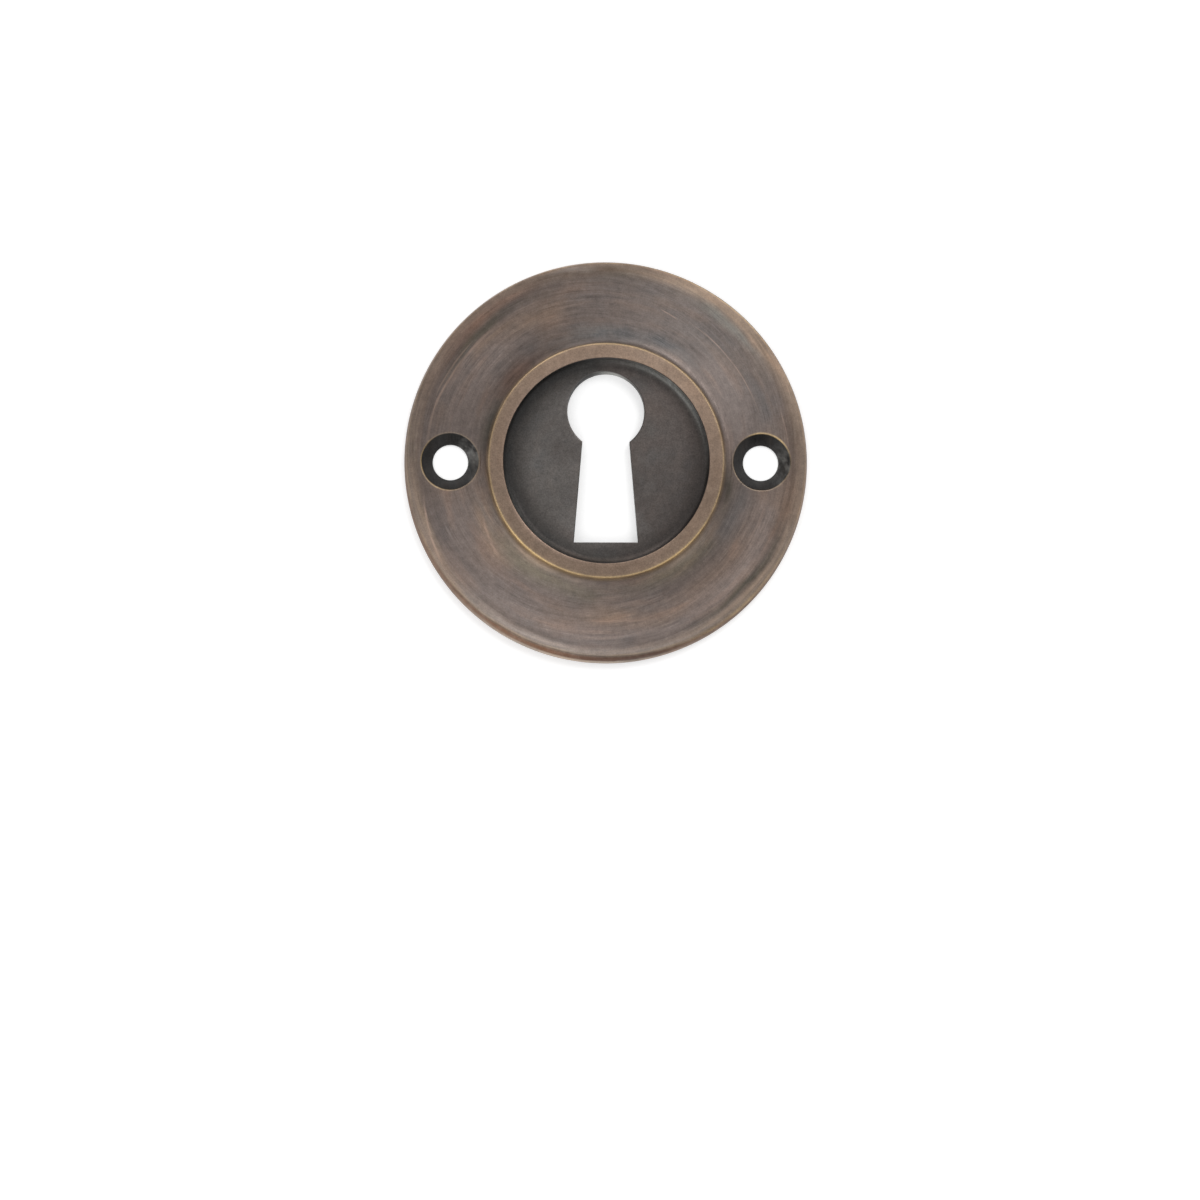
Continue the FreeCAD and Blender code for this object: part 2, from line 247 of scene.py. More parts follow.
def distance_to_keyhole(points):
    """How far points of the floor are from the keyhole's edge."""
    corners = keyhole_corners()
    away = points - np.array((0, KEY_ROUND_Y))
    distance = np.abs(np.linalg.norm(away, axis=1) - KEY_ROUND_RADIUS)
    neck_drop = KEY_ROUND_Y - corners[0][1]
    facing_neck = (away[:, 1] < -neck_drop) & (np.abs(away[:, 0]) < np.abs(away[:, 1]) * KEY_NECK / neck_drop)
    distance[facing_neck] = np.inf
    for start, end in ((corners[1], corners[2]), (corners[2], corners[3]), (corners[3], corners[0])):
        start, end = np.array(start), np.array(end)
        run = end - start
        share = np.clip((points - start) @ run / (run @ run), 0, 1)
        distance = np.minimum(distance, np.linalg.norm(points - start - share[:, None] * run, axis=1))
    return distance


class Grid:
    """Collects the vertices and faces of the finished mesh."""

    def __init__(self):
        self.points = []
        self.faces = []

    def ring(self, points):
        """Add a ring of points, and give their numbers."""
        first = len(self.points)
        self.points += [tuple(map(float, point)) for point in points]
        return list(range(first, first + len(points)))

    def join(self, ring, following, closed=True, skip=()):
        """Fill between two rings, all the way round or only between their ends."""
        count = len(ring)
        for index in range(count if closed else count - 1):
            if index not in skip:
                ahead = (index + 1) % count
                self.faces.append((ring[index], following[index], following[ahead], ring[ahead]))


def face_height(radius, section):
    """Height of the plate's face at a radius, from the worn section."""
    face = [point for point in section if point[0] >= COLLAR_RADIUS + 0.2 and point[1] < COLLAR_TOP - 1]
    top = max(range(len(face)), key=lambda index: (face[index][0] < RIM_CREST[0], face[index][0]))
    radii, heights = zip(*face[:top + 1])
    return np.interp(radius, radii, heights)


def worn_minimum(first, second, wear):
    """The lower of two surfaces, rounded where they cross."""
    overlap = np.maximum(wear - np.abs(first - second), 0) / wear
    return np.minimum(first, second) - overlap ** 2 * wear / 4


def add_countersink(grid, side, rings, section, patch):
    """Fill one countersink's patch of the face, and its cone and shank, with spokes from the hole."""
    first, last = patch
    middle_spoke = 0 if side > 0 else SPOKES // 2
    across = [(middle_spoke + k) % SPOKES for k in range(-PATCH_HALF_SPOKES, PATCH_HALF_SPOKES + 1)]
    border = [rings[level][across[-1]] for level in range(first, last + 1)]
    border += [rings[last][spoke] for spoke in across[-2::-1]]
    border += [rings[level][across[0]] for level in range(last - 1, first - 1, -1)]
    border += [rings[first][spoke] for spoke in across[1:-1]]
    border.reverse()

    edge = np.array([grid.points[number] for number in border])
    centre = np.array((side * SCREW_X, 0))
    out = edge[:, :2] - centre
    edge_distance = np.linalg.norm(out, axis=1)
    direction = out / edge_distance[:, None]
    cone_foot_z = FACE_Z - (COUNTERSINK_RADIUS - SCREW_HOLE_RADIUS) * COUNTERSINK_SLOPE

    spots = np.column_stack([direction * 1.6, np.full(len(border), side * 3.0)])
    cone_foot_z = cone_foot_z + CONE_UNEVEN * noise_at(spots, 1.0, 11)
    lip = np.full(len(border), COUNTERSINK_RADIUS)
    for _ in range(8):
        place = centre + direction * lip[:, None]
        height = face_height(np.linalg.norm(place, axis=1), section)
        lip = SCREW_HOLE_RADIUS + (height - cone_foot_z) / COUNTERSINK_SLOPE

    levels = []
    shank = [(0, HOLE_BACK_WEAR * 4), (0, HOLE_BACK_WEAR), (HOLE_BACK_WEAR, 0), (cone_foot_z - 0.04, 0)]
    for height, growth in shank:
        place = centre + direction * (SCREW_HOLE_RADIUS + growth)
        levels.append(np.column_stack([place, np.broadcast_to(height, len(border))]))
    cone_width = lip - LIP_INSIDE - SCREW_HOLE_RADIUS
    face_width = edge_distance - lip - LIP_OUTSIDE
    reaches = [SCREW_HOLE_RADIUS + cone_width * share
               for share in (0.02, 0.06, 0.15, 0.3, 0.45, 0.6, 0.75, 0.88)]
    reaches += [lip + offset for offset in np.linspace(-LIP_INSIDE, LIP_OUTSIDE, 9)]
    reaches += [lip + LIP_OUTSIDE + face_width * (0.5 - 0.5 * math.cos(turn))
                for turn in np.linspace(0, math.pi, 22)[1:-1]]
    levels += [surface_ring(centre, direction, reach, cone_foot_z, section) for reach in reaches]
    numbers = [grid.ring(level) for level in levels] + [border]
    for inner, outer in zip(numbers, numbers[1:]):
        grid.join(outer, inner)
    return numbers[0]


def surface_ring(centre, direction, reach, cone_foot_z, section):
    """Points round a screw hole, on the cone or on the face, whichever is lower."""
    place = centre + direction * np.broadcast_to(reach, len(direction))[:, None]
    cone = cone_foot_z + (reach - SCREW_HOLE_RADIUS) * COUNTERSINK_SLOPE
    face = face_height(np.linalg.norm(place, axis=1), section)
    return np.column_stack([place, worn_minimum(np.broadcast_to(cone, len(face)), face, COUNTERSINK_WEAR)])


def add_keyhole(grid, floor_ring):
    """Fill the recessed floor from its edge to the keyhole, with the keyhole's wall below."""
    angles = np.linspace(0, 2 * math.pi, SPOKES, endpoint=False)
    outline = keyhole_outline(angles)
    floor_edge = np.array([grid.points[number] for number in floor_ring])[:, :2]
    out = floor_edge - outline
    length = np.linalg.norm(out, axis=1)
    direction = out / length[:, None]

    away = outline - np.array((0, KEY_ROUND_Y))
    reach = np.linalg.norm(away, axis=1)
    about_round = np.degrees(np.arctan2(away[:, 1], away[:, 0]))
    leant = smooth_bump(angle_between(about_round, KEY_FLARE_AZIMUTH), KEY_FLARE_SPREAD)
    on_round = reach < KEY_ROUND_RADIUS + 0.001
    flare = away / reach[:, None] * (KEY_FLARE * leant * on_round)[:, None]

    edge_angles = np.radians((0, 15, 30, 45, 60, 75, 90))
    offsets = list(KEYHOLE_WEAR * (1 - np.cos(edge_angles))) + [1.4 * KEYHOLE_WEAR, 2 * KEYHOLE_WEAR]
    levels = []
    wall = [(0, 5 * HOLE_BACK_WEAR, 0), (0, HOLE_BACK_WEAR, 0), (HOLE_BACK_WEAR, 0, 0),
            (0.4, 0, 0), (0.8, 0, 0.15), (1.2, 0, 0.5)]
    for height, growth, share in wall:
        place = outline + direction * growth + flare * share
        levels.append(np.column_stack([place, np.full(SPOKES, float(height))]))
    for offset in offsets:
        levels.append(floor_level(outline + direction * offset, flare))
    room = length - offsets[-1]
    for share in np.linspace(0, 1, 12)[1:-1]:
        place = outline + direction * (offsets[-1] + room * share ** 1.3)[:, None]
        levels.append(floor_level(place, flare * (1 - share)))
    numbers = [grid.ring(level) for level in levels] + [floor_ring]
    for inner, outer in zip(numbers, numbers[1:]):
        grid.join(outer, inner)
    return numbers[0]


def floor_level(places, shift):
    """Points of the recessed floor, worn down at the keyhole's edge and then shifted."""
    inset = np.clip(KEYHOLE_WEAR - distance_to_keyhole(places), 0, KEYHOLE_WEAR)
    drop = KEYHOLE_WEAR - np.sqrt(KEYHOLE_WEAR ** 2 - inset ** 2)
    return np.column_stack([places + shift, FLOOR_Z - drop])


def close_back(mesh, loops):
    """Fill the flat back between its edge and the holes."""
    builder = bmesh.new()
    builder.from_mesh(mesh)
    builder.verts.ensure_lookup_table()
    edges = []
    for loop in loops:
        for start, end in zip(loop, loop[1:] + loop[:1]):
            edges.append(builder.edges.get((builder.verts[start], builder.verts[end])))
    bmesh.ops.triangle_fill(builder, use_beauty=True, edges=edges, normal=(0, 0, -1))
    bmesh.ops.recalc_face_normals(builder, faces=builder.faces)
    builder.to_mesh(mesh)
    builder.free()


def filed_below(azimuth):
    """How strongly the rim was filed at an azimuth, one at its lowest point."""
    return smooth_bump(angle_between(azimuth, FILED_AZIMUTH), FILED_SPREAD)


def brow_radius_at(azimuth):
    """Radius of the brow between the rim's crown and its bevel, as filed."""
    turns = np.radians(azimuth)
    spots = np.column_stack([np.cos(turns), np.sin(turns), np.zeros(len(turns))])
    moved_in = BROW_IN_BELOW + BROW_RAGGED * noise_at(spots, 9.0, 13)
    return PLATE_RADIUS - RIM_BEVEL[0] + BROW_OUT - moved_in * filed_below(azimuth)


def filed_drift(radius, height, azimuth):
    """How far filing moved the points of one ring of the section outwards."""
    brow_x = PLATE_RADIUS - RIM_BEVEL[0]
    brow_share = np.interp(radius, (RIM_FOOT[0] + 0.35, brow_x, PLATE_RADIUS), (0, 1, 0))
    brow_share *= np.clip((height - RIM_CREST[1] + RIM_BEVEL[1] + 0.1) / 0.2, 0, 1)
    edge_share = np.interp(radius, (brow_x, PLATE_RADIUS), (0, 1))
    return brow_share * (brow_radius_at(azimuth) - brow_x) - edge_share * EDGE_IN_BELOW * filed_below(azimuth)


def collar_drift(radius, azimuth):
    """How far the points of one ring near the collar's outer edge lie outside a true circle."""
    share = np.interp(radius - COLLAR_RADIUS, (-0.4, -0.2, 0.3, 0.9), (0, 1, 1, 0))
    return COLLAR_OUT * share * smooth_bump(angle_between(azimuth, COLLAR_OUT_AZIMUTH), COLLAR_OUT_SPREAD)


def build_plate():
    """Build the finished plate as one closed mesh."""
    grid = Grid()
    section = plate_section()
    angles = np.linspace(0, 2 * math.pi, SPOKES, endpoint=False)
    round_the_axis = np.stack([np.cos(angles), np.sin(angles)], 1)
    azimuth = np.degrees(angles)
    rings = []
    for radius, height in section:
        drift = filed_drift(radius, height, azimuth)
        if radius > COLLAR_RADIUS - 0.4:
            spots = np.column_stack([round_the_axis * 2.2, np.full(SPOKES, radius * 0.8)])
            drift = drift - UNEVEN * (0.5 + 0.5 * noise_at(spots, 1.0, 12)) + collar_drift(radius, azimuth)
        place = round_the_axis * (radius + drift)[:, None]
        rings.append(grid.ring(np.column_stack([place, np.full(SPOKES, height)])))

    face = [level for level, (radius, height) in enumerate(section) if height < COLLAR_TOP - 1]
    patch_first = next(level for level in face if section[level][0] > COLLAR_RADIUS + COLLAR_COVE - 1e-6)
    patch_last = next(level for level in face if section[level][0] > RIM_FOOT[0] + 0.3)
    half_patch = range(-PATCH_HALF_SPOKES, PATCH_HALF_SPOKES)
    skipped = {(side + spoke) % SPOKES for side in (0, SPOKES // 2) for spoke in half_patch}
    for level, (ring, following) in enumerate(zip(rings, rings[1:])):
        in_patch = patch_first <= level < patch_last
        grid.join(ring, following, skip=skipped if in_patch else ())

    back_loops = [rings[-1], add_keyhole(grid, rings[0])]
    for side in (1, -1):
        back_loops.append(add_countersink(grid, side, rings, section, (patch_first, patch_last)))

    mesh = bpy.data.meshes.new("worn_escutcheon")
    used = sorted({number for face in grid.faces for number in face})
    renumbered = {number: index for index, number in enumerate(used)}
    points = np.array([grid.points[number] for number in used]) * MM
    mesh.from_pydata(points.tolist(), [], [[renumbered[number] for number in face] for face in grid.faces])
    close_back(mesh, [[renumbered[number] for number in loop] for loop in back_loops])
    for polygon in mesh.polygons:
        polygon.use_smooth = True
    plate = bpy.data.objects.new("worn_escutcheon", mesh)
    bpy.context.scene.collection.objects.link(plate)
    return plate


# Finish. Colours are in linear light: the metal's own, and lit or shaded ones that stand for painted light
# and shade.
MAUVE = (0.185, 0.150, 0.135)
PALE_MAUVE = (0.225, 0.190, 0.176)
BROWN = (0.215, 0.150, 0.112)
RED_BROWN = (0.175, 0.108, 0.083)
COPPER = (0.275, 0.195, 0.145)
TAN = (0.330, 0.245, 0.180)
OLIVE = (0.178, 0.158, 0.120)
BLUE_GREY = (0.140, 0.142, 0.145)
GREEN_GREY = (0.205, 0.205, 0.182)
DARK_OLIVE = (0.105, 0.096, 0.078)
DARK_MAUVE = (0.135, 0.112, 0.105)
GREY_MAUVE = (0.178, 0.157, 0.147)
PALE_CREST_HIGHLIGHT = (0.300, 0.262, 0.238)
RUST = (0.210, 0.122, 0.080)
SHADED_RUST = (0.122, 0.076, 0.061)
PAINTED_EDGE_REFLECTION = (0.520, 0.440, 0.370)
COLLAR_TAN = (0.290, 0.210, 0.158)
FLOOR_BROWN = (0.094, 0.086, 0.081)
FLOOR_PURPLE = (0.100, 0.081, 0.074)
LIT_FILLET_GREY = (0.085, 0.083, 0.078)
LIT_FILLET_BROWN = (0.100, 0.080, 0.068)
# Black for the hollows, and for painted shade near the recess wall, under the rim's brow and on the keyhole's
# wall.
HOLLOW_AND_SHADE_BLACK = (0.040, 0.040, 0.040)
LIT_CONE_GREY = (0.210, 0.205, 0.195)
LIT_WALL_GREY = (0.440, 0.440, 0.415)
RUBBED_PINK = (0.420, 0.300, 0.240)
BACK_BROWN = (0.120, 0.095, 0.080)

# Patches of the face: azimuth and half its spread in degrees, radius and half its spread, colour, strength.
FACE_PATCHES = [
    (132, 22, 21.0, 0.9, RED_BROWN, 0.6),
    (118, 11, 17.7, 0.9, COPPER, 0.6),
    (131, 13, 18.7, 0.5, COPPER, 0.65),
    # Dark olive in the crease at the rim's foot: patina, and painted shade of the crease.
    (136, 18, 19.9, 0.35, DARK_OLIVE, 0.85),
    (95, 26, 14.3, 1.0, BLUE_GREY, 0.9),
    (136, 15, 13.9, 1.0, RED_BROWN, 0.7),
    (164, 13, 13.3, 0.9, DARK_OLIVE, 0.7),
    (152, 18, 17.4, 1.3, MAUVE, 0.6),
    (60, 22, 21.5, 0.6, TAN, 0.75),
    (28, 16, 21.6, 0.6, TAN, 0.5),
    (55, 34, 22.15, 0.3, RED_BROWN, 0.5),
    (48, 15, 20.3, 0.55, GREEN_GREY, 0.6),
    (45, 12, 17.0, 1.0, BLUE_GREY, 0.45),
    (73, 12, 19.0, 0.9, BLUE_GREY, 0.35),
    (50, 34, 17.3, 2.2, GREY_MAUVE, 0.55),
    (33, 20, 15.3, 1.7, PALE_MAUVE, 0.8),
    (58, 14, 14.4, 0.9, BLUE_GREY, 0.7),
    (26, 22, 18.7, 0.8, BLUE_GREY, 0.35),
    (211, 8, 15.3, 0.5, COPPER, 0.9),
    (218, 8, 15.9, 0.5, COPPER, 0.5),
    (200, 11, 21.0, 0.45, TAN, 0.7),
    # Pale crest along the bottom, partly a painted highlight.
    (254, 26, 21.05, 0.5, PALE_CREST_HIGHLIGHT, 0.8),
    # Tan in the cove below the collar: partly its colour, partly painted light on its shaded steep wall.
    (229, 20, 13.2, 0.3, TAN, 0.7),
    (311, 16, 13.2, 0.3, TAN, 0.5),
    (204, 12, 19.5, 0.8, DARK_MAUVE, 0.5),
    (235, 26, 14.3, 0.9, OLIVE, 0.8),
    (262, 8, 15.0, 0.8, DARK_OLIVE, 0.6),
    (305, 20, 14.2, 0.9, OLIVE, 0.7),
    (269, 10, 17.0, 1.0, COPPER, 0.75),
    (287, 14, 18.2, 0.8, COPPER, 0.45),
    (250, 34, 19.4, 1.2, PALE_MAUVE, 0.8),
    # Dark olive in the crease at the rim's foot: patina, and painted shade of the crease.
    (318, 17, 20.5, 0.35, DARK_OLIVE, 0.85),
    (318, 24, 17.2, 1.4, BROWN, 0.5),
    (346, 12, 13.7, 0.5, DARK_OLIVE, 0.7),
    (338, 14, 15.4, 1.0, BLUE_GREY, 0.4),
    # A painted highlight along the top edge.
    (103, 4, 21.8, 0.35, PALE_CREST_HIGHLIGHT, 0.7),
    (88, 10, 20.8, 0.9, DARK_OLIVE, 0.35),
    (318, 24, 21.4, 0.35, TAN, 0.5),
    (345, 14, 20.2, 1.0, BROWN, 0.5),
    (228, 16, 16.3, 0.8, DARK_MAUVE, 0.5),
    (296, 13, 15.9, 0.7, DARK_MAUVE, 0.4),
]

# Patches where the face is brighter or darker, partly thinner or thicker patina and partly painted light and
# shade: azimuth and half its spread, radius and half its spread, brightness.
PATINA_AND_LIGHT_PATCHES = [
    (45, 34, 18.3, 1.5, 0.80),
    (325, 34, 18.0, 2.0, 1.42),
    (148, 18, 16.8, 1.2, 1.25),
    (225, 26, 19.3, 0.7, 0.82),
    (212, 32, 20.6, 0.5, 0.72),
    (2, 14, 20.6, 0.5, 0.78),
    (40, 24, 21.4, 0.6, 0.88),
    (94, 18, 21.4, 0.5, 0.66),
    (318, 32, 21.2, 0.4, 1.25),
    (138, 16, 21.3, 0.5, 1.20),
    (95, 24, 17.5, 3.0, 0.90),
    (55, 30, 15.6, 0.9, 0.88),
    (48, 26, 13.5, 0.5, 1.16),
    (122, 28, 13.5, 0.5, 0.58),
    (172, 14, 13.5, 0.5, 0.80),
    (234, 22, 13.5, 0.6, 1.50),
    (313, 16, 13.5, 0.6, 1.60),
    (172, 26, 20.6, 1.6, 0.92),
    (346, 12, 13.5, 0.5, 0.75),
    (112, 9, 15.2, 1.0, 0.88),
    (318, 34, 19.2, 0.8, 1.30),
    (145, 12, 19.0, 0.7, 1.32),
    (130, 12, 17.2, 1.0, 1.18),
    (75, 12, 21.1, 0.5, 1.20),
    (248, 17, 20.4, 0.45, 0.80),
    (50, 22, 20.5, 0.5, 1.20),
    (5, 12, 13.5, 0.5, 1.15),
]


def smooth_bump(distance, spread):
    """One in the middle, falling smoothly to nothing at about twice the spread."""
    return np.exp(-(distance / spread) ** 2)


def noise_at(points, scale, seed):
    """Smooth noise from -1 to 1 at points in millimetres."""
    offset = Vector((seed * 17.3, seed * 5.1, seed * 9.7))
    return np.array([noise.noise(Vector(point) * scale + offset) for point in points])


def arcs(azimuth, *bumps):
    """Smooth bumps round the plate, added up, each its azimuth, half its spread in degrees, and height."""
    return sum(height * smooth_bump(angle_between(azimuth, middle), spread)
               for middle, spread, height in bumps)


class Places:
    """Where each vertex of the plate is, in millimetres and degrees."""

    def __init__(self, mesh):
        points = np.zeros(len(mesh.vertices) * 3)
        mesh.vertices.foreach_get("co", points)
        self.points = points.reshape(-1, 3) / MM
        self.x, self.y, self.z = self.points.T
        self.radius = np.hypot(self.x, self.y)
        self.azimuth = np.degrees(np.arctan2(self.y, self.x)) % 360
        self.from_screw = np.hypot(np.abs(self.x) - SCREW_X, self.y)
        self.about_screw = np.degrees(np.arctan2(self.y, self.x - np.sign(self.x) * SCREW_X)) % 360
        self.about_round = np.degrees(np.arctan2(self.y - KEY_ROUND_Y, self.x)) % 360
        on_the_section = np.clip(self.radius, COLLAR_RADIUS + COLLAR_COVE, RIM_CREST[0])
        self.face = face_height(on_the_section, plate_section())
        self.collar_edge = COLLAR_RADIUS + collar_drift(COLLAR_RADIUS, self.azimuth)
        self.brow_radius = brow_radius_at(self.azimuth)
        self.in_recess = self.radius < RECESS_RADIUS + 0.02
        self.on_collar = (~self.in_recess & (self.radius < self.collar_edge + 0.01)
                          & (self.z > COLLAR_TOP - 0.35))
        self.on_back = self.z < 0.05
        outwards = self.points[:, :2] / self.radius.clip(1)[:, None]
        turned = np.column_stack([outwards * 3.5, self.radius * 0.9])
        self.wander = self.noise(0.35, 1) * 0.6 + noise_at(turned, 1.0, 2) * 0.6

    def noise(self, scale, seed):
        return noise_at(self.points, scale, seed)


def patch(at, azimuth, spread, radius, half_width, wander):
    """How strongly a patch of the face shows at each vertex. Its outline wanders, in degrees and in mm."""
    turn = angle_between(at.azimuth + at.wander * wander[0], azimuth)
    return smooth_bump(turn, spread) * smooth_bump(at.radius + at.wander * wander[1] - radius, half_width)


def paint_face(at, tint):
    """Mottle the whole plate as its face is, with a paler rim, and make patches brighter or darker, partly as
    painted light and shade.
    """
    mix_in(tint, BROWN, 0.3 * np.clip(at.noise(0.22, 3) * 2, 0, 1))
    mix_in(tint, TAN, 0.40 * np.clip((at.radius - RIM_FOOT[0] + 0.1) / 0.9, 0, 1))
    for azimuth, spread, radius, half_width, colour, strength in FACE_PATCHES:
        mix_in(tint, colour, strength * patch(at, azimuth, spread, radius, half_width, (10, 0.6)))
    # Patches made brighter or darker, partly patina and partly painted light and shade.
    for azimuth, spread, radius, half_width, brightness in PATINA_AND_LIGHT_PATCHES:
        tint *= (1 + (brightness - 1) * patch(at, azimuth, spread, radius, half_width, (6, 0.3)))[:, None]


def paint_collar(at, tint):
    """Rub the collar to tan and to pink at its inner edge, paint the top of its cove tan, partly as painted
    light, and give its top painted light and shade round it.
    """
    past_edge = at.radius - at.collar_edge
    # Tan along the top of the cove: partly rubbed brass colour, partly painted light on its shaded steep
    # wall.
    mix_in(tint, TAN, 0.85 * smooth_bump(past_edge.clip(0), 0.22) * (past_edge > -0.04))
    tint[at.on_collar] = COLLAR_TAN
    # Painted light and shade on the collar's top: lighter towards the upper side, darker on the brushed
    # highlight lobes and on the given arcs.
    upper = 0.5 + 0.5 * np.cos(np.radians(at.azimuth - 75))
    highlight_lobes = np.cos(2 * np.radians(at.azimuth - 38))
    shade = (0.82 + 0.22 * upper + at.wander * 0.08) * (1 - 0.18 * highlight_lobes)
    shade *= 1 - arcs(at.azimuth, (268, 34, 0.18), (222, 26, 0.10), (98, 24, 0.12))
    tint[at.on_collar] *= shade[at.on_collar, None]
    inner_edge = smooth_bump(at.radius - RECESS_RADIUS - 0.08, 0.10) * (at.z > COLLAR_TOP - 0.2)
    mix_in(tint, RUBBED_PINK, inner_edge * (0.2 + arcs(at.azimuth, (148, 22, 0.5), (225, 22, 0.5))))


def paint_recess(at, tint):
    """Paint the recessed floor with painted shade, darker towards its edge, and its fillet and wall with
    painted light, in brown and grey.
    """
    tint[at.in_recess] = FLOOR_BROWN
    # Painted shade on the floor: lighter in the middle, darker towards its edge, and varying round it with
    # the lamps.
    middle_shade = 1.65 * (1 + arcs(at.azimuth, (42, 34, -0.46), (348, 30, 0.16)))
    middle_shade *= 1 - arcs(at.azimuth, (222, 30, 0.38))
    outer_shade = 0.92 * (1 + arcs(at.azimuth, (25, 42, -0.32), (215, 38, -0.34), (135, 30, 0.10)))
    inwards = np.interp(at.radius, (8.0, 9.0, 9.8), (1, 0.55, 0))
    floor_shade = outer_shade + (middle_shade - outer_shade) * inwards
    tint[at.in_recess] *= (floor_shade * np.interp(at.radius, (10.2, 10.7), (1, 0.78)))[at.in_recess, None]
    mix_in(tint, FLOOR_PURPLE, at.in_recess * 0.6 * np.clip(0.4 + at.x / 9 + at.wander, 0, 1))
    # Darker still near the wall: partly grime and partly painted shade, most at the upper left.
    near_wall = np.clip((at.radius - RECESS_RADIUS + 1.7) / 1.1, 0, 1)
    grime_and_shade = 0.4 + arcs(at.azimuth, (130, 40, 0.3), (50, 34, -0.25), (266, 32, -0.30))
    mix_in(tint, HOLLOW_AND_SHADE_BLACK, at.in_recess * near_wall * grime_and_shade)
    # Painted light on the fillet at the upper right and at the bottom, where it faces the lamps.
    fillet = at.in_recess * smooth_bump(at.radius - RECESS_RADIUS + 0.4, 0.26) * (at.z < COLLAR_TOP - 0.9)
    mix_in(tint, LIT_FILLET_GREY, fillet * arcs(at.azimuth, (45, 34, 0.65)))
    mix_in(tint, LIT_FILLET_BROWN, fillet * arcs(at.azimuth, (266, 34, 0.50)))
    # Painted light on the recess wall in grey, patchy, most at the upper right where it faces the fill lamp.
    up_wall = np.clip((at.radius - RECESS_RADIUS + 0.45) / 0.35, 0, 1) * (at.z < COLLAR_TOP - 0.2)
    wall_light_breakup = np.clip(0.85 + 0.25 * at.noise(2.2, 9) + 0.4 * at.noise(6.0, 10), 0, 1)
    wall_light_arcs = arcs(at.azimuth, (45, 32, 0.95), (212, 25, 0.30))
    mix_in(tint, LIT_WALL_GREY, at.in_recess * up_wall * wall_light_breakup * wall_light_arcs)


def paint_screw_holes(at, tint):
    """Darken the countersinks, with one side of each cone painted grey as painted light."""
    in_hole = (at.from_screw < COUNTERSINK_RADIUS + 0.35) & (at.z < at.face - 0.03)
    mix_in(tint, HOLLOW_AND_SHADE_BLACK, in_hole * 0.93)
    # Painted light on one side of each cone, broken up by noise.
    lit_side = np.where(at.x > 0, arcs(at.about_screw, (358, 36, 1)), arcs(at.about_screw, (28, 42, 1)))
    lit_breakup = np.clip(0.55 + 0.9 * at.noise(1.1, 7) + 0.7 * at.noise(3.5, 8), 0, 1)
    mix_in(tint, LIT_CONE_GREY, in_hole * lit_side * lit_breakup)


def paint_rim(at, tint):
    """Paint the rim: its pale crest, with a painted highlight below, its bevel rusty and darker below, partly
    grime and partly painted shade, and a painted reflection of the table on the bottom edge.
    """
    past_brow = at.radius - at.brow_radius
    # A pale crest along the bottom, worn and also lit as a painted highlight.
    crest = smooth_bump(past_brow + 0.22, 0.24) * (at.z > RIM_CREST[1] - 0.1)
    mix_in(tint, PALE_CREST_HIGHLIGHT, crest * arcs(at.azimuth, (270, 65, 0.55)))
    side = np.clip((past_brow - 0.05) / 0.15, 0, 1) * ~at.on_back
    mix_in(tint, RED_BROWN, side * (0.3 + arcs(at.azimuth, (75, 50, 0.3))))
    rusty = np.clip(0.88 + 0.5 * at.noise(2.2, 14) + 0.4 * at.noise(5.0, 15), 0, 1)
    mix_in(tint, RUST, side * rusty * arcs(at.azimuth, (250, 48, 1)))
    # Rust darkened at the bottom of the bevel as painted shade, where it faces down.
    mix_in(tint, SHADED_RUST, side * rusty * arcs(at.azimuth, (281, 24, 1)))
    # Darker under the brow below: partly grime and partly painted shade.
    under_brow = smooth_bump(past_brow - 0.10, 0.07) * (at.z > RIM_CREST[1] - 0.4)
    mix_in(tint, HOLLOW_AND_SHADE_BLACK, under_brow * rusty * arcs(at.azimuth, (255, 48, 0.6)))
    # A painted reflection of the white table on the bottom edge.
    reflected_edge = np.clip((at.radius - PLATE_RADIUS + 0.31) / 0.12, 0, 1) * np.clip((at.z - 0.85) / 0.25, 0, 1)
    mix_in(tint, PAINTED_EDGE_REFLECTION, reflected_edge * arcs(at.azimuth, (260, 34, 0.9)))


def paint_keyhole_wall(at, tint):
    """Darken the keyhole's wall with painted shade, most at the upper left, and paint a grey highlight on it
    at the top.
    """
    wall = ~at.on_back & (at.z < FLOOR_Z - 0.1) & (at.radius < RECESS_RADIUS)
    # Painted shade on the keyhole's wall, darkest at the upper left.
    mix_in(tint, HOLLOW_AND_SHADE_BLACK, wall * (0.5 + arcs(at.about_round, (138, 32, 0.45))))
    # A painted highlight in grey at the top of the keyhole's wall.
    mix_in(tint, LIT_WALL_GREY, wall * arcs(at.about_round, (78, 20, 0.7)))


